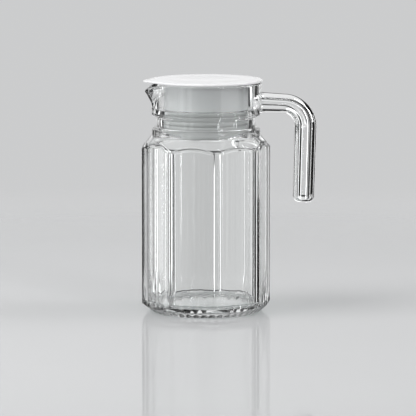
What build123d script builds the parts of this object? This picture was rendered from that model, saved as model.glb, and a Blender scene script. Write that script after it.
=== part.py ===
from build123d import *
from math import atan2, cos, degrees, radians, sin, tan
import os

# A lidded glass jug of about one litre. Millimetres, Z up. The origin is on the jug's axis at the
# plane it stands on, +X points to the handle and -X to the pouring lip.

# Glass body, plan
panel_count = 8
across_flats = 99.9
corner_round = 5.5
wall = 3.7
inner_corner_round = 22.0

# Glass body, heights from the foot upwards
heel_height = 7.7
panel_height = 127.8
shoulder_height = 11.0
bead_height = 2.7
neck_height = 11.6
bevel_height = 2.4
collar_height = 26.8

# Glass body, round parts: the foot, the neck, and what steps out from the neck
foot_radius = 44.4
neck_radius = 40.6
bead_step = 4.1
collar_step = 4.3
collar_flare = 0.7

# Glass base
foot_ring_width = 3.2
foot_ring_bevel = 3.0
punt_depth = 2.4
base_thickness = 4.8
cove_radius = 4.0

# Mouth: a wide bore down to a ledge, then the narrower neck bore
collar_wall = 4.9
mouth_depth = 21.8
neck_wall = 5.2
rim_round = 1.7
ledge_round = 0.8

# Pouring lip
lip_overhang = 5.2
lip_height = 8.8
lip_below_rim = 7.7
lip_tip_round = 3.5
lip_flank_angle = 28.5
lip_wall = 4.4
lip_dip = 5.8
lip_dip_angle = 22.0
channel_tip_round = 1.5
channel_flank_angle = 34.0

# Handle: one round rod, applied hot to the collar
handle_root_diameter = 17.3
handle_bend_diameter = 16.2
handle_grip_diameter = 18.5
handle_end_diameter = 17.9
handle_below_rim = 17.9
handle_droop = 3.0
handle_reach = 38.8
handle_lean = 1.4
handle_drop = 83.8
handle_bend_radius = 19.0
handle_end_round = 6.0

# Lid: a flat disc with a beak over the lip, and a hollow plug under it
lid_overhang = 0.8
lid_thickness = 2.0
lid_edge_round = 0.8
beak_overhang = 6.5
beak_round = 4.5
dish_radius = 30.0
dish_depth = 1.4
plate_thickness = 1.6
plug_length = 43.6
plug_wall = 1.8
flange_height = 1.0
flange_lap = 1.1

# Seal: a soft ribbed sleeve round the lower plug
seal_length = 20.5
seal_thickness = 1.1
rib_rise = 1.0
rib_round = 2.3
rib_count = 5

# Clearances
plug_clearance = 0.7
seal_to_neck = 0.2
seal_to_plug = 0.05
seal_end_play = 0.1
lid_to_rim = 0.05

# Worked-out places
corner_reach = across_flats / 2 / cos(radians(180 / panel_count))
shoulder_z = heel_height + panel_height
bead_z = shoulder_z + shoulder_height
neck_z = bead_z + bead_height
collar_z = neck_z + neck_height + bevel_height
rim_z = collar_z + collar_height
ledge_z = rim_z - mouth_depth
bead_radius = neck_radius + bead_step
collar_base_radius = neck_radius + collar_step
collar_top_radius = collar_base_radius + collar_flare
mouth_radius = collar_base_radius - collar_wall
neck_bore_radius = neck_radius - neck_wall
floor_z = punt_depth + base_thickness
punt_radius = foot_radius - foot_ring_width - foot_ring_bevel
cut_margin = 5.0


def panel_plan(half_flats, round_radius):
    # The plan of a flat-sided body with rounded corners, one of them on the X axis.
    with BuildSketch(Plane.XY) as plan:
        RegularPolygon(half_flats, panel_count, major_radius=False)
        fillet(plan.vertices(), round_radius)
    return plan.sketch


def vee(reach, tip_round, flank_angle):
    # The plan of the pouring lip: a round tip at -X and two straight flanks that run back to
    # where they pass closest to the axis, and from there one lip wall straight in.
    centre = tip_round - reach
    flank = (reach - tip_round) * cos(radians(flank_angle)) + tip_round
    ends = []
    for side in (1, -1):
        along = (-cos(radians(flank_angle)), side * sin(radians(flank_angle)))
        touch = (centre + tip_round * along[0], tip_round * along[1])
        outer = (flank * along[0], flank * along[1])
        inner = ((flank - lip_wall) * along[0], (flank - lip_wall) * along[1])
        Polyline(touch, outer, inner)
        ends.append(inner)
    Line(ends[0], ends[1])
    CenterArc((centre, 0), tip_round, 180 - flank_angle, 2 * flank_angle)


# The outside of the glass, without lip and handle
outer_plan = panel_plan(across_flats / 2, corner_round)

with BuildPart() as glass_form:
    with BuildSketch(Plane.XZ):
        Polygon(
            (0, punt_depth),
            (punt_radius, punt_depth),
            (foot_radius - foot_ring_width, 0),
            (foot_radius, 0),
            (corner_reach, heel_height),
            (corner_reach, shoulder_z),
            (bead_radius, bead_z),
            (0, bead_z),
            align=None,
        )
    revolve(axis=Axis.Z)
    extrude(outer_plan, amount=bead_z, mode=Mode.INTERSECT)
    with BuildSketch(Plane.XZ):
        with BuildLine():
            Polyline((0, bead_z), (bead_radius, bead_z), (bead_radius, neck_z))
            CenterArc((neck_radius, neck_z), bead_step, 0, 90)
            Polyline(
                (neck_radius, neck_z + bead_step),
                (neck_radius, neck_z + neck_height),
                (collar_base_radius, collar_z),
                (collar_top_radius, rim_z - rim_round),
            )
            CenterArc((collar_top_radius - rim_round, rim_z - rim_round), rim_round, 0, 90)
            Polyline((collar_top_radius - rim_round, rim_z), (0, rim_z), (0, bead_z))
        make_face()
    revolve(axis=Axis.Z)

# The hollow inside: floor with a coved edge, soft panels, shoulder, neck bore and mouth
inner_half_flats = across_flats / 2 - wall
inner_reach = inner_half_flats / cos(radians(180 / panel_count))
inner_reach -= inner_corner_round * (1 / cos(radians(180 / panel_count)) - 1)
inner_plan = panel_plan(inner_half_flats, inner_corner_round)
shoulder_angle = atan2(shoulder_height, corner_reach - bead_radius)
shoulder_lift = wall / cos(shoulder_angle)


def inner_shoulder_z(radius):
    # Height of the inner shoulder cone, one wall under the outer one, at a radius.
    return shoulder_z + (corner_reach - radius) * tan(shoulder_angle) - shoulder_lift


bore_z = inner_shoulder_z(neck_bore_radius)

with BuildPart() as cavity:
    with BuildSketch(Plane.XZ):
        with BuildLine():
            Line((0, floor_z), (inner_reach - cove_radius, floor_z))
            CenterArc((inner_reach - cove_radius, floor_z + cove_radius), cove_radius, 270, 90)
            Polyline(
                (inner_reach, floor_z + cove_radius),
                (inner_reach, inner_shoulder_z(inner_reach)),
                (neck_bore_radius, bore_z),
                (0, bore_z),
                (0, floor_z),
            )
        make_face()
    revolve(axis=Axis.Z)
    extrude(inner_plan, amount=bore_z, mode=Mode.INTERSECT)
    with BuildSketch(Plane.XZ):
        with BuildLine():
            Polyline(
                (0, bore_z),
                (neck_bore_radius, bore_z),
                (neck_bore_radius, ledge_z - ledge_round),
            )
            CenterArc((neck_bore_radius + ledge_round, ledge_z - ledge_round), ledge_round, 90, 90)
            Polyline(
                (neck_bore_radius + ledge_round, ledge_z),
                (mouth_radius, ledge_z),
                (mouth_radius, rim_z - rim_round),
            )
            CenterArc((mouth_radius + rim_round, rim_z - rim_round), rim_round, 90, 90)
            Polyline(
                (mouth_radius + rim_round, rim_z),
                (mouth_radius + rim_round, rim_z + cut_margin),
                (0, rim_z + cut_margin),
                (0, bore_z),
            )
        make_face()
    revolve(axis=Axis.Z)

# Jug body: the outside form with its lip, hollowed out
lip_z = rim_z - lip_below_rim
lip_reach = collar_top_radius + lip_overhang
lip_slant = (lip_overhang, 0, -lip_height)
lip_slant_length = (lip_overhang**2 + lip_height**2) ** 0.5 + cut_margin
dip_start = lip_reach - lip_dip / tan(radians(lip_dip_angle))
dip_end = lip_reach + cut_margin
dip_end_z = rim_z - (dip_end - dip_start) * tan(radians(lip_dip_angle))

with BuildPart() as jug_body:
    add(glass_form.part)
    with BuildSketch(Plane.XY.offset(lip_z)) as lip_plan:
        with BuildLine():
            vee(lip_reach, lip_tip_round, lip_flank_angle)
        make_face()
    extrude(amount=lip_below_rim)
    extrude(lip_plan.sketch, amount=lip_slant_length, dir=lip_slant)
    add(cavity.part, mode=Mode.SUBTRACT)
    with BuildSketch(Plane.XY.offset(lip_z)) as channel_plan:
        with BuildLine():
            vee(lip_reach - lip_wall, channel_tip_round, channel_flank_angle)
        make_face()
    extrude(amount=lip_below_rim + cut_margin, mode=Mode.SUBTRACT)
    extrude(channel_plan.sketch, amount=lip_slant_length, dir=lip_slant, mode=Mode.SUBTRACT)
    with BuildSketch(Plane.XZ):
        Polygon(
            (-dip_start, rim_z),
            (-dip_end, dip_end_z),
            (-dip_end, rim_z + cut_margin),
            (-dip_start, rim_z + cut_margin),
            align=None,
        )
    extrude(amount=collar_top_radius, both=True, mode=Mode.SUBTRACT)

# Handle: out from the collar, round the bend and down to a rounded free end
handle_root = (collar_base_radius - wall, rim_z - handle_below_rim)
handle_x = collar_base_radius + handle_reach
handle_run = handle_x - handle_root[0]
handle_turn = (handle_x, handle_root[1] - handle_run * tan(radians(handle_droop)))
handle_tip = (handle_x - handle_drop * tan(radians(handle_lean)), handle_root[1] - handle_drop)

rod_diameters = (
    handle_root_diameter,
    handle_bend_diameter,
    handle_grip_diameter,
    handle_end_diameter,
)

with BuildPart() as jug_handle:
    with BuildLine(Plane.XZ) as rod:
        FilletPolyline(handle_root, handle_turn, handle_tip, radius=handle_bend_radius)
    for number, stretch in enumerate(rod.edges().sort_by(Axis.Z, reverse=True)):
        for end in (0, 1):
            with BuildSketch(Plane(stretch @ end, z_dir=stretch % end)):
                Circle(rod_diameters[number + end] / 2)
        sweep(path=stretch, multisection=True)
    end_round = min(handle_end_round, 0.45 * handle_end_diameter)
    fillet(jug_handle.edges().sort_by(Axis.Z)[0], end_round)
    add(glass_form.part, mode=Mode.SUBTRACT)

# Seal sleeve: ribs that bear on the neck bore
plug_radius = neck_bore_radius - plug_clearance
rib_radius = neck_bore_radius - seal_to_neck
seal_radius = rib_radius - rib_rise
seal_bore = seal_radius - seal_thickness
plug_end_z = rim_z - plug_length
seal_z = plug_end_z + flange_height + seal_end_play
rib_pitch = seal_length / rib_count

with BuildPart() as seal_sleeve:
    with BuildSketch(Plane.XZ):
        with Locations(((seal_bore + seal_radius) / 2, seal_z + seal_length / 2)):
            Rectangle(seal_thickness, seal_length)
        for rib in range(rib_count):
            with Locations((rib_radius - rib_round, seal_z + (rib + 0.5) * rib_pitch)):
                Circle(rib_round)
        with Locations((seal_bore, seal_z + seal_length / 2)):
            Rectangle(
                rib_radius - seal_bore,
                seal_length,
                align=(Align.MIN, Align.CENTER),
                mode=Mode.INTERSECT,
            )
    revolve(axis=Axis.Z)

# Lid: disc with beak and dish, plug wall, and the core and flange that hold the seal
lid_z = rim_z + lid_to_rim
lid_top = lid_z + lid_thickness
lid_radius = collar_top_radius + lid_overhang
beak_reach = collar_top_radius + beak_overhang
core_radius = seal_bore - seal_to_plug
core_bore = core_radius - plug_wall
plug_bore = plug_radius - plug_wall
step_z = seal_z + seal_length + seal_end_play
flange_radius = core_radius + flange_lap
plate_z = lid_top - dish_depth - plate_thickness
dish_sphere = (dish_radius**2 + dish_depth**2) / (2 * dish_depth)
beak_angle = degrees(atan2(((beak_reach - beak_round) ** 2 - (lid_radius - beak_round) ** 2) ** 0.5,
                           lid_radius - beak_round))

with BuildPart() as lid:
    with BuildSketch(Plane.XY.offset(lid_z)):
        with BuildLine():
            CenterArc((0, 0), lid_radius, beak_angle - 180, 360 - 2 * beak_angle)
            CenterArc((beak_round - beak_reach, 0), beak_round, 180 - beak_angle, 2 * beak_angle)
            for side in (1, -1):
                along = Vector(-cos(radians(beak_angle)), side * sin(radians(beak_angle)))
                Line(along * lid_radius, Vector(beak_round - beak_reach, 0) + along * beak_round)
        make_face()
    extrude(amount=lid_thickness)
    edge_round = min(lid_edge_round, 0.45 * lid_thickness)
    for rim_face in (lid.faces().sort_by(Axis.Z)[-1], lid.faces().sort_by(Axis.Z)[0]):
        fillet(rim_face.edges(), edge_round)
    with BuildSketch(Plane.XZ):
        with BuildLine():
            Polyline(
                (0, lid_z),
                (plug_radius, lid_z),
                (plug_radius, step_z),
                (core_radius, step_z),
                (core_radius, plug_end_z + flange_height),
                (flange_radius, plug_end_z + flange_height),
                (flange_radius, plug_end_z),
                (core_bore, plug_end_z),
                (core_bore, step_z + plug_wall),
                (plug_bore, step_z + plug_wall),
                (plug_bore, plate_z),
                (0, plate_z),
                (0, lid_z),
            )
        make_face()
    revolve(axis=Axis.Z)
    with BuildSketch(Plane.XZ):
        with Locations((0, lid_top - dish_depth + dish_sphere)):
            Circle(dish_sphere)
        with Locations((0, lid_top)):
            Rectangle(
                dish_radius + cut_margin,
                dish_depth * 2,
                align=(Align.MIN, Align.CENTER),
                mode=Mode.INTERSECT,
            )
    revolve(axis=Axis.Z, mode=Mode.SUBTRACT)

os.makedirs("parts", exist_ok=True)
for name, piece in (
    ("jug_body", jug_body),
    ("jug_handle", jug_handle),
    ("seal_sleeve", seal_sleeve),
    ("lid", lid),
):
    piece.part.label = name
    export_step(piece.part, f"parts/{name}.step")
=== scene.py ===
import cmath
from math import acos, atan2, cos, pi, radians, sin, sqrt, tan

import bmesh
import bpy
from mathutils import Matrix, Vector


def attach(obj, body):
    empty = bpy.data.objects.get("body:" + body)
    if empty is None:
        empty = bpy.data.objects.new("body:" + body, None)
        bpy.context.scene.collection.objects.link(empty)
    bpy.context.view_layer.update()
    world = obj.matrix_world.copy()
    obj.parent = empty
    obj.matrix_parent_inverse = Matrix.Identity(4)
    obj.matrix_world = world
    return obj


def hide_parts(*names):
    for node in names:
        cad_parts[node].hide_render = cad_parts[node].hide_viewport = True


# A lidded glass jug on a pale floor. The pieces are modelled in millimetres and brought to metres
# as they are finished. Z is up, +X points to the handle and -X to the pouring lip. A point of a
# profile is a complex number: its distance from the axis, and its height as the imaginary part.

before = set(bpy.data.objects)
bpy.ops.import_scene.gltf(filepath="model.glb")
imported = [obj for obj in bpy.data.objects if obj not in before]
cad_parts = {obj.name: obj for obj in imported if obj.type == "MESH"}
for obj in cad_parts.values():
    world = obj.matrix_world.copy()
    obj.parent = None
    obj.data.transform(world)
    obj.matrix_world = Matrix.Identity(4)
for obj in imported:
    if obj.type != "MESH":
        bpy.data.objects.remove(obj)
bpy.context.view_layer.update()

MM = 0.001

# Glass body, plan
PANELS = 8
HALF_FLATS = 49.95
CORNER_ROUND = 5.5
WALL = 3.7
INNER_CORNER_ROUND = 22.0

# Glass body, heights from the foot upwards
HEEL_HEIGHT = 7.7
PANEL_HEIGHT = 127.8
SHOULDER_HEIGHT = 11.0
BEAD_HEIGHT = 2.7
NECK_HEIGHT = 11.6
BEVEL_HEIGHT = 2.4
COLLAR_HEIGHT = 26.8

# Glass body, round parts: the foot, the neck, and what steps out from the neck
FOOT_RADIUS = 44.4
NECK_RADIUS = 40.6
BEAD_STEP = 4.1
COLLAR_STEP = 4.3
COLLAR_FLARE = 0.7

# Glass base
RING_WIDTH = 3.2
RING_BEVEL = 3.0
PUNT_DEPTH = 2.4
BASE_THICKNESS = 4.8
COVE = 4.0

# Mouth: a wide bore down to a ledge, then the narrower neck bore
COLLAR_WALL = 4.9
MOUTH_DEPTH = 21.8
NECK_WALL = 5.2

# Small roundings of the glass
PUNT_ROUND = 1.5
RING_ROUND = 0.8
FOOT_ROUND = 1.0
HEEL_ROUND = 0.9
ARCH_ROUND = 1.2
BEAD_ROUND = 0.8
NECK_FOOT_ROUND = 0.25
NECK_FOOT_RUN = 0.3
NECK_TOP_ROUND = 0.9
COLLAR_ROUND = 0.9
RIM_ROUND = 1.7
LEDGE_ROUND = 0.8
BORE_END_ROUND = 2.0
INNER_SHOULDER_ROUND = 6.0

# Pouring lip, and the channel inside it
LIP_OVERHANG = 5.2
LIP_HEIGHT = 8.8
LIP_BELOW_RIM = 7.7
LIP_TIP = 3.5
LIP_FLANK = radians(28.5)
LIP_WALL = 4.4
LIP_BLEND = 1.2
LIP_PASSES = 2
LIP_ABOVE_COLLAR_FOOT = 0.5
LIP_INTO_MOUTH = 0.1
CHANNEL_TIP = 1.5
CHANNEL_FLANK = radians(34)
DIP_START = 36.44
DIP_SLOPE = tan(radians(22))
DIP_DEPTH = 19.0

# Fine pressed flutes round the heel and across the foot ring
FLUTES = 48
FLUTE_DEPTH = 0.6
FLUTE_TOP = 6.6
FLUTE_INWARD = -0.78 + 0.62j
FLUTE_LAP = 0.5
RING_FLUTE_DEPTH = 0.3
RING_FLUTE_TOP = 1.2
RING_FLUTE_LENGTH = 4.9

# Handle: a round rod, out from the collar, round a bend and down. Its radii are given along it.
HANDLE_BELOW_RIM = 17.9
HANDLE_REACH = 38.8
HANDLE_DROOP = 2.23
HANDLE_DROP = 83.8
HANDLE_LEAN = 2.047
BEND = 19.0
ROOT_INSET = 0.05
ROOT_RADIUS = 9.35
ROOT_ROUND = 0.5
FLARE_RADIUS = 8.63
FLARE_LENGTH = 1.7
FLARE_ROUND = 1.2
BEND_RADIUS = 8.1
GRIP_RADIUS = 9.25
GRIP_ROUND = 30.0
END_RADIUS = 8.95
END_ROUND = 6.0

# Lid: a flat disc with a beak over the lip and a dish in its top
LID_OVERHANG = 0.8
LID_THICKNESS = 2.0
LID_EDGE = 0.85
BEAK_OVERHANG = 6.5
BEAK_TIP = 4.5
DISH_RADIUS = 30.0
DISH_DEPTH = 1.4
PLATE_THICKNESS = 1.6
PLATE_FILLET = 0.8

# The hollow plug under the lid, and its thinner core and flange, which hold the seal
PLUG_LENGTH = 43.6
PLUG_WALL = 1.8
PLUG_FILLET = 0.5
PLUG_EDGE = 0.4
CORE_FILLET = 0.2
FLANGE_HEIGHT = 1.0
FLANGE_LAP = 1.1
FLANGE_EDGE = 0.3

# Seal: a soft ribbed sleeve round the plug's core
SEAL_LENGTH = 20.5
SEAL_THICKNESS = 1.1
SEAL_EDGE = 0.2
RIBS = 5
RIB_RISE = 1.0
RIB_ROUND = 2.3

# Clearances
LID_TO_RIM = 0.05
PLUG_TO_NECK = 0.7
SEAL_TO_NECK = 0.2
SEAL_TO_CORE = 0.05
SEAL_END_PLAY = 0.1

# Worked-out places on the glass body
PANEL_ANGLE = 2 * pi / PANELS
SHOULDER_Z = HEEL_HEIGHT + PANEL_HEIGHT
BEAD_Z = SHOULDER_Z + SHOULDER_HEIGHT
NECK_Z = BEAD_Z + BEAD_HEIGHT
NECK_TOP_Z = NECK_Z + NECK_HEIGHT
COLLAR_Z = NECK_TOP_Z + BEVEL_HEIGHT
RIM_Z = COLLAR_Z + COLLAR_HEIGHT
LEDGE_Z = RIM_Z - MOUTH_DEPTH
FLOOR_Z = PUNT_DEPTH + BASE_THICKNESS
RING_RADIUS = FOOT_RADIUS - RING_WIDTH
PUNT_RADIUS = RING_RADIUS - RING_BEVEL
BEAD_RADIUS = NECK_RADIUS + BEAD_STEP
COLLAR_RADIUS = NECK_RADIUS + COLLAR_STEP
RIM_RADIUS = COLLAR_RADIUS + COLLAR_FLARE
MOUTH_RADIUS = COLLAR_RADIUS - COLLAR_WALL
BORE_RADIUS = NECK_RADIUS - NECK_WALL
SHOULDER_REACH = HALF_FLATS / cos(PANEL_ANGLE / 2)
SHOULDER_RISE = SHOULDER_HEIGHT / (SHOULDER_REACH - BEAD_RADIUS)
SHOULDER_LIFT = WALL * sqrt(1 + SHOULDER_RISE**2)
HEEL_RISE = HEEL_HEIGHT / (SHOULDER_REACH - FOOT_RADIUS)

# Worked-out places on the lip and the handle
LIP_FOOT_Z = COLLAR_Z + LIP_ABOVE_COLLAR_FOOT
LIP_INNER_RADIUS = MOUTH_RADIUS - LIP_INTO_MOUTH
LIP_Z = RIM_Z - LIP_BELOW_RIM
LIP_REACH = RIM_RADIUS + LIP_OVERHANG
LIP_SLANT = LIP_OVERHANG / LIP_HEIGHT
CHANNEL_REACH = LIP_REACH - LIP_WALL
DIP_FOOT_Z = RIM_Z - DIP_DEPTH
ROOT = complex(COLLAR_RADIUS, RIM_Z - HANDLE_BELOW_RIM)
TURN = ROOT + complex(HANDLE_REACH, -HANDLE_DROOP)
TIP = ROOT + complex(HANDLE_REACH - HANDLE_LEAN, -HANDLE_DROP)

# Worked-out places on the lid and the seal
LID_Z = RIM_Z + LID_TO_RIM
LID_TOP = LID_Z + LID_THICKNESS
LID_RADIUS = RIM_RADIUS + LID_OVERHANG
BEAK_CENTRE = RIM_RADIUS + BEAK_OVERHANG - BEAK_TIP
BEAK_FLANK = acos((LID_RADIUS - BEAK_TIP) / BEAK_CENTRE)
PLATE_Z = LID_TOP - DISH_DEPTH - PLATE_THICKNESS
PLUG_RADIUS = BORE_RADIUS - PLUG_TO_NECK
PLUG_END_Z = RIM_Z - PLUG_LENGTH
FLANGE_Z = PLUG_END_Z + FLANGE_HEIGHT
SEAL_Z = FLANGE_Z + SEAL_END_PLAY
SEAL_TOP = SEAL_Z + SEAL_LENGTH
STEP_Z = SEAL_TOP + SEAL_END_PLAY
RIB_RADIUS = BORE_RADIUS - SEAL_TO_NECK
SEAL_RADIUS = RIB_RADIUS - RIB_RISE
SEAL_BORE = SEAL_RADIUS - SEAL_THICKNESS
CORE_RADIUS = SEAL_BORE - SEAL_TO_CORE
FLANGE_RADIUS = CORE_RADIUS + FLANGE_LAP

# How finely the pieces are turned. A sector is spun and doubled until it is a full turn. Points
# closer than MERGE become one, and a point closer than ON_AXIS to the axis lies on it.
DOUBLINGS = 3
BODY_STEPS = 480
ROD_STEPS = 96
LID_STEPS = 240
DISH_STEPS = 12
RIB_STEPS = 10
CORNER_CROWDING = 0.7
MERGE = 1e-4
ON_AXIS = 1e-3


# Modelling

def rounded_line(corners):
    """Points along a profile. A corner is (place, rounding, arc steps, steps to the next corner)."""
    arcs = []
    for number, (here, rounding, arc_steps, _) in enumerate(corners):
        if not arc_steps:
            arcs.append([here])
            continue
        back = corners[number - 1][0] - here
        ahead = corners[(number + 1) % len(corners)][0] - here
        back /= abs(back)
        ahead /= abs(ahead)
        half = abs(cmath.phase(ahead / back)) / 2
        middle = (back + ahead) / abs(back + ahead)
        centre = here + middle * rounding / sin(half)
        spoke = here + back * rounding / tan(half) - centre
        sweep = cmath.phase((here + ahead * rounding / tan(half) - centre) / spoke)
        arcs.append([centre + spoke * cmath.exp(1j * sweep * step / arc_steps)
                     for step in range(arc_steps + 1)])
    line = []
    for number, arc in enumerate(arcs):
        line += arc
        run_steps = corners[number][3]
        following = arcs[(number + 1) % len(arcs)][0]
        line += [arc[-1] + (following - arc[-1]) * step / run_steps for step in range(1, run_steps)]
    return line


def turned(line, steps, closed=False):
    """A profile spun round the Z axis. Each vertex keeps the number of its row in the profile."""
    bm = bmesh.new()
    row = bm.verts.layers.int.new("row")
    chain = []
    for number, place in enumerate(line):
        vertex = bm.verts.new((place.real, 0, place.imag))
        vertex[row] = number
        chain.append(vertex)
    for first, second in zip(chain, chain[1:]):
        bm.edges.new((first, second))
    if closed:
        bm.edges.new((chain[-1], chain[0]))
    sector = 2 * pi / 2**DOUBLINGS
    bmesh.ops.spin(bm, geom=bm.verts[:] + bm.edges[:], cent=(0, 0, 0), axis=(0, 0, 1),
                   angle=sector, steps=steps // 2**DOUBLINGS)
    for doubling in range(DOUBLINGS):
        copied = bmesh.ops.duplicate(bm, geom=bm.verts[:] + bm.edges[:] + bm.faces[:])["geom"]
        vertices = [part for part in copied if isinstance(part, bmesh.types.BMVert)]
        turn = Matrix.Rotation(sector * 2**doubling, 3, "Z")
        bmesh.ops.rotate(bm, cent=(0, 0, 0), matrix=turn, verts=vertices)
    bmesh.ops.remove_doubles(bm, verts=bm.verts[:], dist=MERGE)
    bmesh.ops.recalc_face_normals(bm, faces=bm.faces[:])
    return bm, row


def reshape(bm, row, steps, place_of):
    """Moves every vertex to place_of(row, angle), where the angle is that of its step."""
    step_angle = 2 * pi / steps
    for vertex in bm.verts:
        angle = 0.0
        if vertex.co.xy.length >= ON_AXIS:
            angle = round(atan2(vertex.co.y, vertex.co.x) / step_angle) * step_angle
        vertex.co = place_of(vertex[row], angle)


def upright(place, angle):
    """A profile's point as a point in space, at an angle round the axis."""
    return Vector((place.real * cos(angle), place.real * sin(angle), place.imag))


def new_object(bm, name, material):
    """Turns a finished bmesh into an object of one material."""
    mesh = bpy.data.meshes.new(name)
    bm.to_mesh(mesh)
    bm.free()
    mesh.materials.append(material)
    made = bpy.data.objects.new(name, mesh)
    bpy.context.scene.collection.objects.link(made)
    return made


def finish_piece(bm, name, body, node, material):
    """Brings a piece to metres, smooths it, and hangs it on its body in place of a plain solid."""
    bmesh.ops.scale(bm, vec=(MM, MM, MM), verts=bm.verts[:])
    piece = new_object(bm, name, material)
    piece.data.shade_smooth()
    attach(piece, body)
    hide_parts(node)


def nose(angle, centre, tip, flank):
    """Distance from the axis to a nose with a round tip and straight flanks, at an angle off it."""
    angle = abs(angle)
    if angle < atan2(tip * sin(flank), centre + tip * cos(flank)):
        return centre * cos(angle) + sqrt(tip**2 - (centre * sin(angle))**2)
    return (centre * cos(flank) + tip) / cos(flank - angle)


def panel_reach(angle, half_flats, corner_round):
    """Distance from the axis to the flat-sided plan, at an angle round the axis."""
    off_corner = (angle + PANEL_ANGLE / 2) % PANEL_ANGLE - PANEL_ANGLE / 2
    centre = (half_flats - corner_round) / cos(PANEL_ANGLE / 2)
    return nose(off_corner, centre, corner_round, PANEL_ANGLE / 2)


def off_front(angle):
    """How far an angle round the axis is from -X, where the lip and the beak point."""
    return (angle % (2 * pi)) - pi


def blended_max(first, second, blend):
    """The larger of two numbers, with the change from one to the other rounded off."""
    overlap = max(blend - abs(first - second), 0) / blend
    return max(first, second) + overlap**2 * blend / 4


def soft_step(value, low, high):
    """From 0 at low to 1 at high, with soft ends."""
    share = min(max((value - low) / (high - low), 0), 1)
    return share * share * (3 - 2 * share)


# Glass body

def shoulder_z(radius):
    """Height of the outer shoulder cone at a distance from the axis."""
    return SHOULDER_Z + (SHOULDER_REACH - radius) * SHOULDER_RISE


def collar_reach(height):
    """Distance from the axis to the collar's outside, which flares a little towards the rim."""
    return COLLAR_RADIUS + COLLAR_FLARE * (height - COLLAR_Z) / COLLAR_HEIGHT


def body_line(outer, inner):
    """The glass body's profile where its panels are at one outer and inner distance."""
    heel = complex(outer, (outer - FOOT_RADIUS) * HEEL_RISE)
    arch = complex(outer, shoulder_z(outer))
    inner_arch = complex(inner, shoulder_z(inner) - SHOULDER_LIFT)
    bore_end = complex(BORE_RADIUS, shoulder_z(BORE_RADIUS) - SHOULDER_LIFT)
    bead_top = NECK_Z + BEAD_STEP
    return rounded_line((
        (complex(0, PUNT_DEPTH), 0, 0, 4),
        (complex(PUNT_RADIUS, PUNT_DEPTH), PUNT_ROUND, 4, 1),
        (complex(RING_RADIUS, 0), RING_ROUND, 3, 2),
        (complex(FOOT_RADIUS, 0), FOOT_ROUND, 4, 8),
        (heel, HEEL_ROUND, 5, 8),
        (arch, ARCH_ROUND, 6, 6),
        (complex(BEAD_RADIUS, BEAD_Z), BEAD_ROUND, 4, 2),
        (complex(BEAD_RADIUS, bead_top), BEAD_STEP - NECK_FOOT_RUN, 10, 1),
        (complex(NECK_RADIUS, bead_top), NECK_FOOT_ROUND, 3, 3),
        (complex(NECK_RADIUS, NECK_TOP_Z), NECK_TOP_ROUND, 4, 2),
        (complex(COLLAR_RADIUS, COLLAR_Z), COLLAR_ROUND, 4, 28),
        (complex(RIM_RADIUS, RIM_Z), RIM_ROUND, 7, 3),
        (complex(MOUTH_RADIUS, RIM_Z), RIM_ROUND, 7, 22),
        (complex(MOUTH_RADIUS, LEDGE_Z), LEDGE_ROUND, 4, 3),
        (complex(BORE_RADIUS, LEDGE_Z), LEDGE_ROUND, 4, 4),
        (bore_end, BORE_END_ROUND, 5, 3),
        (inner_arch, INNER_SHOULDER_ROUND, 8, 8),
        (complex(inner, FLOOR_Z), COVE, 10, 6),
        (complex(0, FLOOR_Z), 0, 0, 1),
    ))


def lip_reach(angle, height, reach, tip, flank):
    """Distance from the axis to the lip's or the channel's surface, at an angle off the lip."""
    centre = reach - tip - max(LIP_Z - height, 0) * LIP_SLANT
    past_flank = max(abs(angle) - flank, 0)
    return nose(min(abs(angle), flank), centre, tip, flank) - past_flank * centre / 2


def with_lip(place, angle):
    """Moves a point of the collar out to the pouring lip, and down to its dipped edge."""
    if place.imag < LIP_FOOT_Z or place.real < LIP_INNER_RADIUS:
        return place
    off_lip = off_front(angle)
    collar = collar_reach(place.imag)
    share = min(max((place.real - MOUTH_RADIUS) / (collar - MOUTH_RADIUS), 0), 1)
    height = place.imag
    # The reach depends on the height and the height on the reach, so the passes settle both.
    for _ in range(LIP_PASSES):
        outer = lip_reach(off_lip, height, LIP_REACH, LIP_TIP, LIP_FLANK)
        inner = lip_reach(off_lip, height, CHANNEL_REACH, CHANNEL_TIP, CHANNEL_FLANK)
        outer = blended_max(collar, outer, LIP_BLEND)
        inner = blended_max(MOUTH_RADIUS, inner, LIP_BLEND)
        radius = inner + (outer - inner) * share
        past_dip = radius * cos(off_lip) - DIP_START
        drop = blended_max(past_dip * DIP_SLOPE, 0, LIP_BLEND)
        height = place.imag - drop * soft_step(place.imag, DIP_FOOT_Z, RIM_Z)
    return complex(radius, height)


def with_flutes(place, angle):
    """Presses the small flutes into the lower heel and the foot ring's underside."""
    if place.real < FOOT_RADIUS - RING_FLUTE_LENGTH or place.imag > FLUTE_TOP:
        return place
    height = max(place.imag, 0)
    wave = (1 - cos(FLUTES * angle)) / 2
    place += 1j * wave * RING_FLUTE_DEPTH * (1 - soft_step(height, 0, RING_FLUTE_TOP))
    if place.real > FOOT_RADIUS - FLUTE_LAP:
        place += FLUTE_INWARD * wave * FLUTE_DEPTH * sin(pi * height / FLUTE_TOP)
    return place


def glass_body():
    """The jug's body: its profile spun, then moved out to the panels, the lip and the flutes."""
    profiles = {}

    def place_of(row, angle):
        # The steps crowd towards the panels' corners, where the glass curves.
        crowded = angle - CORNER_CROWDING * sin(PANELS * angle) / PANELS
        if angle not in profiles:
            outer = panel_reach(crowded, HALF_FLATS, CORNER_ROUND)
            inner = panel_reach(crowded, HALF_FLATS - WALL, INNER_CORNER_ROUND)
            profiles[angle] = body_line(outer, inner)
        place = with_flutes(profiles[angle][row], crowded)
        return upright(with_lip(place, crowded), crowded)

    bm, row = turned(body_line(HALF_FLATS, HALF_FLATS - WALL), BODY_STEPS)
    reshape(bm, row, BODY_STEPS, place_of)
    return bm


# Handle

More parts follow.
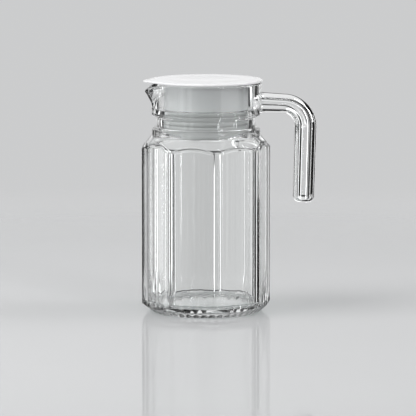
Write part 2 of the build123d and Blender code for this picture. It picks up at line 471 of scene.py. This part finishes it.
def rod_line():
    """The rod's profile along its own length, where its bend starts and ends, and how far it turns."""
    along = TURN - ROOT
    down = TIP - TURN
    turn_angle = abs(cmath.phase(down / along))
    cut_back = BEND * tan(turn_angle / 2)
    to_bend = abs(along) - cut_back
    past_bend = to_bend + BEND * turn_angle
    length = past_bend + abs(down) - cut_back
    line = rounded_line((
        (complex(0, 0), 0, 0, 6),
        (complex(ROOT_RADIUS, 0), ROOT_ROUND, 4, 1),
        (complex(FLARE_RADIUS, FLARE_LENGTH), FLARE_ROUND, 4, 10),
        (complex(BEND_RADIUS, to_bend), 0, 0, 24),
        (complex(GRIP_RADIUS, past_bend), GRIP_ROUND, 4, 24),
        (complex(END_RADIUS, length), END_ROUND, 12, 3),
        (complex(0, length), 0, 0, 1),
    ))
    return line, to_bend, past_bend, turn_angle


def handle_rod():
    """The handle: a straight turned rod, laid along its path out from the collar and down."""
    line, to_bend, past_bend, turn_angle = rod_line()
    out = (TURN - ROOT) / abs(TURN - ROOT)
    bend_start = ROOT + out * to_bend
    bend_centre = bend_start - 1j * out * BEND

    def centre_and_heading(length):
        if length < to_bend:
            return ROOT + out * length, out
        turned_by = min((length - to_bend) / BEND, turn_angle)
        heading = out * cmath.exp(-1j * turned_by)
        place = bend_centre + 1j * heading * BEND
        return place + heading * max(length - past_bend, 0), heading

    def place_of(row, angle):
        radius = line[row].real
        length = line[row].imag
        centre, heading = centre_and_heading(length)
        across = centre + 1j * heading * radius * cos(angle)
        place = Vector((across.real, radius * sin(angle), across.imag))
        surface = sqrt((collar_reach(place.z) + ROOT_INSET)**2 - place.y**2) - COLLAR_RADIUS
        place.x += surface * (1 - soft_step(length, 0, to_bend))
        return place

    bm, row = turned(line, ROD_STEPS)
    reshape(bm, row, ROD_STEPS, place_of)
    bmesh.ops.recalc_face_normals(bm, faces=bm.faces[:])
    return bm


# Lid

def dish_line():
    """The dish in the lid's top, from its middle out: part of a large sphere."""
    sphere = (DISH_RADIUS**2 + DISH_DEPTH**2) / (2 * DISH_DEPTH)
    line = []
    for step in range(DISH_STEPS):
        radius = DISH_RADIUS * step / DISH_STEPS
        depth = DISH_DEPTH - (sphere - sqrt(sphere**2 - radius**2))
        line.append(complex(radius, LID_TOP - depth))
    return line


def lid_moulding():
    """The lid: dished disc with a beak over the lip, and the hollow plug that holds the seal."""
    inner_step_z = STEP_Z + PLUG_WALL
    line = dish_line() + rounded_line((
        (complex(DISH_RADIUS, LID_TOP), 0, 0, 3),
        (complex(LID_RADIUS, LID_TOP), LID_EDGE, 6, 1),
        (complex(LID_RADIUS, LID_Z), LID_EDGE, 6, 3),
        (complex(PLUG_RADIUS, LID_Z), PLUG_FILLET, 4, 4),
        (complex(PLUG_RADIUS, STEP_Z), PLUG_EDGE, 4, 1),
        (complex(CORE_RADIUS, STEP_Z), CORE_FILLET, 3, 2),
        (complex(CORE_RADIUS, FLANGE_Z), CORE_FILLET, 3, 1),
        (complex(FLANGE_RADIUS, FLANGE_Z), FLANGE_EDGE, 3, 1),
        (complex(FLANGE_RADIUS, PLUG_END_Z), FLANGE_EDGE, 3, 1),
        (complex(CORE_RADIUS - PLUG_WALL, PLUG_END_Z), FLANGE_EDGE, 3, 2),
        (complex(CORE_RADIUS - PLUG_WALL, inner_step_z), FLANGE_EDGE, 3, 1),
        (complex(PLUG_RADIUS - PLUG_WALL, inner_step_z), FLANGE_EDGE, 3, 2),
        (complex(PLUG_RADIUS - PLUG_WALL, PLATE_Z), PLATE_FILLET, 4, 6),
        (complex(0, PLATE_Z), 0, 0, 1),
    ))

    def place_of(row, angle):
        place = line[row]
        if place.real > PLUG_RADIUS + MERGE:
            edge = LID_RADIUS
            if abs(off_front(angle)) < BEAK_FLANK:
                edge = nose(off_front(angle), BEAK_CENTRE, BEAK_TIP, BEAK_FLANK)
            share = (place.real - PLUG_RADIUS) / (LID_RADIUS - PLUG_RADIUS)
            place = complex(PLUG_RADIUS + (edge - PLUG_RADIUS) * share, place.imag)
        return upright(place, angle)

    bm, row = turned(line, LID_STEPS)
    reshape(bm, row, LID_STEPS, place_of)
    return bm


# Seal

def seal_ribs():
    """The soft sleeve round the plug's core, with its round ribs."""
    pitch = (SEAL_TOP - SEAL_Z) / RIBS
    half_width = sqrt(RIB_ROUND**2 - (SEAL_RADIUS - RIB_RADIUS + RIB_ROUND)**2)
    line = [complex(SEAL_BORE, SEAL_Z + SEAL_EDGE), complex(SEAL_BORE + SEAL_EDGE, SEAL_Z)]
    for rib in range(RIBS):
        middle = SEAL_Z + (rib + 0.5) * pitch
        for step in range(RIB_STEPS + 1):
            across = half_width * (2 * step / RIB_STEPS - 1)
            rise = sqrt(RIB_ROUND**2 - across**2)
            line.append(complex(RIB_RADIUS - RIB_ROUND + rise, middle + across))
    line += [complex(SEAL_BORE + SEAL_EDGE, SEAL_TOP), complex(SEAL_BORE, SEAL_TOP - SEAL_EDGE)]
    bm, _ = turned(line, LID_STEPS, closed=True)
    return bm


# Node trees

class Number:
    """A number in a node tree. Arithmetic on it adds Math nodes."""

    def __init__(self, nodes, socket):
        self.nodes = nodes
        self.socket = socket

    def maths(self, operation, first, second):
        node = self.nodes.add("ShaderNodeMath", {"operation": operation}, {0: first, 1: second})
        return Number(self.nodes, node.outputs[0])

    def __add__(self, other):
        return self.maths("ADD", self, other)

    def __radd__(self, other):
        return self.maths("ADD", other, self)

    def __sub__(self, other):
        return self.maths("SUBTRACT", self, other)

    def __rsub__(self, other):
        return self.maths("SUBTRACT", other, self)

    def __mul__(self, other):
        return self.maths("MULTIPLY", self, other)

    def __rmul__(self, other):
        return self.maths("MULTIPLY", other, self)

    def between(self, low, high):
        """From 0 at low to 1 at high, with soft ends."""
        node = self.nodes.add("ShaderNodeMapRange", {"interpolation_type": "SMOOTHSTEP"},
                              {0: self, 1: low, 2: high})
        return Number(self.nodes, node.outputs[0])


class Nodes:
    """A node tree that is built up node by node."""

    def __init__(self, owner):
        owner.use_nodes = True
        self.tree = owner.node_tree
        self.tree.nodes.clear()

    def add(self, kind, settings=None, values=None):
        """Adds a node. Settings are set first, then each input's value or link."""
        node = self.tree.nodes.new(kind)
        for name, setting in (settings or {}).items():
            setattr(node, name, setting)
        for name, value in (values or {}).items():
            if isinstance(value, Number):
                value = value.socket
            if isinstance(value, bpy.types.NodeSocket):
                self.tree.links.new(value, node.inputs[name])
            else:
                node.inputs[name].default_value = value
        return node

    def number(self, kind, output, settings=None, values=None):
        """Adds a node and gives one of its outputs as a number."""
        return Number(self, self.add(kind, settings, values).outputs[output])

    def mix(self, share, first, second):
        """A colour between two colours."""
        node = self.add("ShaderNodeMix", {"data_type": "RGBA", "clamp_factor": False},
                        {0: share, 6: first, 7: second})
        return node.outputs[2]

    def noise(self, size, detail):
        """Noise from 0 to 1 whose grains are about one size across, in metres."""
        place = self.add("ShaderNodeTexCoord").outputs["Object"]
        return self.number("ShaderNodeTexNoise", "Fac", None,
                           {"Vector": place, "Scale": 1 / size, "Detail": detail})

    def bump(self, height, distance, strength):
        """A bumped normal, from heights between 0 and 1 and the depth that 1 stands for."""
        node = self.add("ShaderNodeBump", None,
                        {"Height": height, "Distance": distance, "Strength": strength})
        return node.outputs["Normal"]


def new_material(name):
    material = bpy.data.materials.new(name)
    return material, Nodes(material)


# Materials. The sizes of waves, marks, clouds and grains are in metres.

GLASS_INDEX = 1.52
GLASS_TINTS = (0.98, 0.988, 0.986, 1), (0.99, 0.995, 0.994, 1)
GLASS_TINT_SIZE = 0.05
GLASS_SHADOW_TINT = (0.86, 0.88, 0.875, 1)
WAVE_SIZE = 0.06
WAVE_DEPTH = 0.0004
WAVE_STRENGTH = 0.3
MARK_SIZE = 0.012
MARK_LEVELS = 0.52, 0.75
MARK_ROUGHNESS = 0.02


def clear_glass():
    """Pressed glass: clear, softly wavy, with a trace of green and a breath of handling marks."""
    material, nodes = new_material("clear_glass")
    waves = nodes.noise(WAVE_SIZE, detail=0.5)
    marks = nodes.noise(MARK_SIZE, detail=4.0).between(*MARK_LEVELS)
    patches = nodes.noise(GLASS_TINT_SIZE, detail=1.0)
    glass = nodes.add("ShaderNodeBsdfPrincipled", None, {
        "Base Color": nodes.mix(patches, *GLASS_TINTS),
        "Roughness": marks * MARK_ROUGHNESS,
        "IOR": GLASS_INDEX,
        "Transmission Weight": 1.0,
        "Normal": nodes.bump(waves, WAVE_DEPTH, WAVE_STRENGTH),
    })
    # A lamp's light passes straight through, so the jug throws a pale shadow.
    clear = nodes.add("ShaderNodeBsdfTransparent", None, {"Color": GLASS_SHADOW_TINT})
    lamp_ray = nodes.add("ShaderNodeLightPath").outputs["Is Shadow Ray"]
    both = nodes.add("ShaderNodeMixShader", None, {0: lamp_ray, 1: glass.outputs[0], 2: clear.outputs[0]})
    nodes.add("ShaderNodeOutputMaterial", None, {"Surface": both.outputs[0]})
    return material


WHITES = (0.83, 0.83, 0.84, 1), (0.88, 0.88, 0.885, 1)
WHITE_INDEX = 1.49
WHITE_CLOUD_SIZE = 0.03
WHITE_GRAIN_SIZE = 0.0006
WHITE_GRAIN_DEPTH = 0.00004
WHITE_GRAIN_STRENGTH = 0.35
WHITE_ROUGHNESS = 0.13
WHITE_UNEVENNESS = 0.06


def white_plastic():
    """Moulded white plastic with a satin skin and a faint cloudiness from its flow."""
    material, nodes = new_material("white_plastic")
    cloud = nodes.noise(WHITE_CLOUD_SIZE, detail=3.0)
    grain = nodes.noise(WHITE_GRAIN_SIZE, detail=2.0)
    plastic = nodes.add("ShaderNodeBsdfPrincipled", None, {
        "Base Color": nodes.mix(cloud, *WHITES),
        "Roughness": cloud * WHITE_UNEVENNESS + grain * WHITE_UNEVENNESS + WHITE_ROUGHNESS,
        "IOR": WHITE_INDEX,
        "Normal": nodes.bump(grain, WHITE_GRAIN_DEPTH, WHITE_GRAIN_STRENGTH),
    })
    nodes.add("ShaderNodeOutputMaterial", None, {"Surface": plastic.outputs[0]})
    return material


SEAL_GREYS = (0.75, 0.75, 0.75, 1), (0.85, 0.85, 0.85, 1)
SEAL_INDEX = 1.43
SEAL_CLEARNESS = 0.3
SEAL_CLOUD_SIZE = 0.012
SEAL_GRAIN_SIZE = 0.001
SEAL_GRAIN_DEPTH = 0.00006
SEAL_GRAIN_STRENGTH = 0.4
SEAL_ROUGHNESS = 0.1
SEAL_UNEVENNESS = 0.08


def soft_seal():
    """Milky soft plastic that lets some light through, slightly uneven in its thickness."""
    material, nodes = new_material("soft_seal")
    cloud = nodes.noise(SEAL_CLOUD_SIZE, detail=3.0)
    grain = nodes.noise(SEAL_GRAIN_SIZE, detail=2.0)
    rubber = nodes.add("ShaderNodeBsdfPrincipled", None, {
        "Base Color": nodes.mix(cloud, *SEAL_GREYS),
        "Roughness": cloud * SEAL_UNEVENNESS + SEAL_ROUGHNESS,
        "IOR": SEAL_INDEX,
        "Transmission Weight": SEAL_CLEARNESS,
        "Normal": nodes.bump(grain, SEAL_GRAIN_DEPTH, SEAL_GRAIN_STRENGTH),
    })
    nodes.add("ShaderNodeOutputMaterial", None, {"Surface": rubber.outputs[0]})
    return material


# Floor, in metres. It fades out under the background, and close round the jug for reflections
# and for what is seen through the glass, where the studio's own low sheets take over.

FLOOR_RADIUS = 0.9
FLOOR_FADE = 0.3
GLASS_FLOOR_RADIUS = 0.075
GLASS_FLOOR_FADE = 0.055
FLOOR_SEGMENTS = 96
FLOOR_GREYS = (0.56, 0.565, 0.57, 1), (0.58, 0.585, 0.59, 1)
FLOOR_CLOUD_SIZE = 0.2
POLISH = 0.25
POLISH_ROUGHNESS = 0.015
POLISH_UNEVENNESS = 0.03


def pale_floor():
    """A pale, lightly polished table."""
    material, nodes = new_material("pale_floor")
    place = nodes.add("ShaderNodeTexCoord").outputs["Object"]
    distance = nodes.number("ShaderNodeVectorMath", "Value", {"operation": "LENGTH"}, {0: place})
    cloud = nodes.noise(FLOOR_CLOUD_SIZE, detail=2.0)
    seen = nodes.number("ShaderNodeLightPath", "Is Camera Ray")
    seen_fade = distance.between(FLOOR_FADE, FLOOR_RADIUS)
    glass_fade = distance.between(GLASS_FLOOR_FADE, GLASS_FLOOR_RADIUS)
    matt = nodes.add("ShaderNodeBsdfDiffuse", None, {"Color": nodes.mix(cloud, *FLOOR_GREYS)})
    roughness = cloud * POLISH_UNEVENNESS + POLISH_ROUGHNESS
    polish = nodes.add("ShaderNodeBsdfAnisotropic", None, {"Roughness": roughness})
    table = nodes.add("ShaderNodeMixShader", None, {0: POLISH, 1: matt.outputs[0], 2: polish.outputs[0]})
    gone = nodes.add("ShaderNodeBsdfTransparent")
    fade = glass_fade + seen * (seen_fade - glass_fade)
    faded = nodes.add("ShaderNodeMixShader", None, {0: fade, 1: table.outputs[0], 2: gone.outputs[0]})
    nodes.add("ShaderNodeOutputMaterial", None, {"Surface": faded.outputs[0]})
    return material


def floor():
    bm = bmesh.new()
    bmesh.ops.create_circle(bm, cap_ends=True, segments=FLOOR_SEGMENTS, radius=FLOOR_RADIUS)
    piece = new_object(bm, "floor", pale_floor())


# The studio's sheets of light: direction and half width, anticlockwise from +X, then lowest and
# highest elevation, all in degrees, and brightness
SHEETS = (
    # The pale ground behind the jug, as the camera sees it through the glass
    (80.1, 12.9, -15, -5.1, 0.6),
    (88, 17, -5.1, 3.6, 0.6),
    (81, 36, -85, -23, 0.68),
    # Two bright strips beside it, which draw the lines of the ribs
    (63.9, 1.2, -60, 4, 2.8),
    (96.2, 1.2, -60, -5.1, 2.0),
    # What the lid's rim, its dish and the floor mirror
    (85, 30, 4.4, 11, 0.85),
    (85, 30, 12, 20, 0.4),
    # The pale ground behind the jug from its other sides, and what the floor mirrors there
    (135, 22, 17, 33, 0.85),
    (180, 17, -9, 10, 0.6),
    (180, 25, -17.2, -12, 0.8),
    (232, 132, -60, -18, 0.62),
    (275, 7, -17.2, -10, 0.6),
    (315, 22, -9, 22, 0.8),
    (315, 15, -17.2, -10, 0.6),
    (355, 7, -17.2, -10, 0.6),
    # Strips further round the back, bent into view by the glass at the jug's two sides
    (149, 5, -17, -3, 1.6),
    (118, 3, -20, 6, 1.6),
    (54, 2.5, -20, 6, 0.5),
    (22, 2.5, -25, 12, 1.6),
    # Strips in front and at the sides, mirrored by the glass and by the ribs of the seal
    (-10, 1.5, 4, 60, 9.0),
    (-24, 0.8, -7.2, -5.6, 9.0),
    (-24, 0.5, -30, -10, 9.0),
    (-58, 1.2, -30, -10, 3.0),
    (-63, 1.5, 4, 60, 12.0),
    (-70, 0.8, -7.2, -5.6, 9.0),
    (-70, 0.5, -30, -10, 9.0),
    (-154, 5, -30, 25, 1.0),
    (225, 4, -60, 30, 0.8),
)
SOFT_EDGE = 0.8
DARK = 0.012
# The light overhead begins between these heights on a ball of radius 1.
OVERHEAD_EDGE = 0.55, 0.65
OVERHEAD = 0.8
# A count goes from 0 to 1 between these, so 1 and more come out as 1.
ANY = 0.4, 0.6
BLACK = (0, 0, 0, 1)
SHEET_WHITE = (1, 1.005, 1.01, 1)
BACKGROUND = (0.6, 0.605, 0.61, 1)
ROOM_LIGHT = (0.33, 0.33, 0.335, 1)


def surroundings():
    """A dark round studio, hung with pale and bright sheets, and soft light overhead."""
    world = bpy.data.worlds.new("studio")
    bpy.context.scene.world = world
    nodes = Nodes(world)
    place = nodes.add("ShaderNodeTexCoord").outputs["Generated"]
    up = nodes.number("ShaderNodeSeparateXYZ", "Z", None, {0: place})
    flat = nodes.add("ShaderNodeVectorMath", {"operation": "MULTIPLY"}, {0: place, 1: (1, 1, 0)})
    flat = nodes.add("ShaderNodeVectorMath", {"operation": "NORMALIZE"}, {0: flat.outputs[0]})

    def sheet(direction, half_width, lowest, highest):
        """1 on a sheet, and 0 beyond its soft edges."""
        middle = (cos(radians(direction)), sin(radians(direction)), 0)
        facing = nodes.number("ShaderNodeVectorMath", "Value", {"operation": "DOT_PRODUCT"},
                              {0: flat.outputs[0], 1: middle})
        across = facing.between(cos(radians(half_width + SOFT_EDGE)), cos(radians(half_width)))
        above = up.between(sin(radians(lowest - SOFT_EDGE)), sin(radians(lowest)))
        below = up.between(sin(radians(highest)), sin(radians(highest + SOFT_EDGE)))
        return across * above * (1 - below)

    light = up.between(*OVERHEAD_EDGE) * OVERHEAD + DARK
    for direction, half_width, lowest, highest, brightness in SHEETS:
        light = sheet(direction, half_width, lowest, highest) * brightness + light
    # The camera sees a plain pale background, and matt surfaces are lit by plain even light.
    seen = nodes.number("ShaderNodeLightPath", "Is Camera Ray")
    bounced = nodes.number("ShaderNodeLightPath", "Diffuse Depth").between(*ANY)
    colour = nodes.mix(seen, nodes.mix(light, BLACK, SHEET_WHITE), BACKGROUND)
    colour = nodes.mix(bounced, colour, ROOM_LIGHT)
    background = nodes.add("ShaderNodeBackground", None, {"Color": colour, "Strength": 1.0})
    nodes.add("ShaderNodeOutputWorld", None, {"Surface": background.outputs[0]})


# Lamps: place, the point that they are aimed at, width and height, all in metres, and watts

LAMPS = {
    "key": ((-1.0, -0.25, 1.5), (0, 0, 0.12), (0.9, 0.9), 15),
    "fill": ((1.0, -0.15, 1.2), (0, 0, 0.12), (0.8, 0.8), 5),
    "side": ((-1.4, -0.35, 0.3), (0, 0, 0.15), (0.5, 0.5), 8),
    "front": ((0.1, -1.6, 0.7), (0, 0, 0.15), (1.2, 0.5), 4),
}


def aim(thing, place, target):
    """Puts a lamp or a camera in its place, aimed at a point, and links it to the scene."""
    thing.location = place
    thing.rotation_mode = "QUATERNION"
    thing.rotation_quaternion = (Vector(target) - Vector(place)).to_track_quat("-Z", "Y")
    bpy.context.scene.collection.objects.link(thing)


def softbox(name, place, target, size, power):
    """A large soft lamp, which neither the camera nor the glass shows."""
    data = bpy.data.lights.new(name, "AREA")
    data.shape = "RECTANGLE"
    data.size, data.size_y = size
    data.energy = power
    lamp = bpy.data.objects.new(name, data)
    lamp.visible_camera = False
    lamp.visible_glossy = False
    lamp.visible_transmission = False
    aim(lamp, place, target)


# Camera, found from the photograph: 3.1 m from the jug's axis and 7.4 degrees above it

CAMERA_DISTANCE = 3.1
CAMERA_HEIGHT = 0.4855
CAMERA_SIDE = Vector((-0.167, -0.986))
CAMERA_AIM = (0.00155, -0.00026, 0.08525)
FOCAL_LENGTH = 327.6
SENSOR_WIDTH = 36
NEAREST = 0.05
FURTHEST = 50


def camera():
    data = bpy.data.cameras.new("camera")
    data.lens = FOCAL_LENGTH
    data.sensor_width = SENSOR_WIDTH
    data.clip_start = NEAREST
    data.clip_end = FURTHEST
    view = bpy.data.objects.new("camera", data)
    side = CAMERA_SIDE.normalized() * CAMERA_DISTANCE
    aim(view, (side.x, side.y, CAMERA_HEIGHT), CAMERA_AIM)
    bpy.context.scene.camera = view


# How often light may bounce: often enough to pass through every wall of glass

LIGHT_BOUNCES = 24
MIRROR_BOUNCES = 8

glass = clear_glass()
finish_piece(glass_body(), "glass_body", "jug", "jug_body", glass)
finish_piece(handle_rod(), "handle_rod", "jug", "jug_handle", glass)
finish_piece(lid_moulding(), "lid_moulding", "lid", "lid", white_plastic())
finish_piece(seal_ribs(), "seal_ribs", "seal", "seal_sleeve", soft_seal())

floor()
surroundings()
for lamp_name, (place, target, size, power) in LAMPS.items():
    softbox(lamp_name, place, target, size, power)
camera()

scene = bpy.context.scene
scene.view_settings.view_transform = "Standard"
scene.cycles.max_bounces = LIGHT_BOUNCES
scene.cycles.transmission_bounces = LIGHT_BOUNCES
scene.cycles.glossy_bounces = MIRROR_BOUNCES
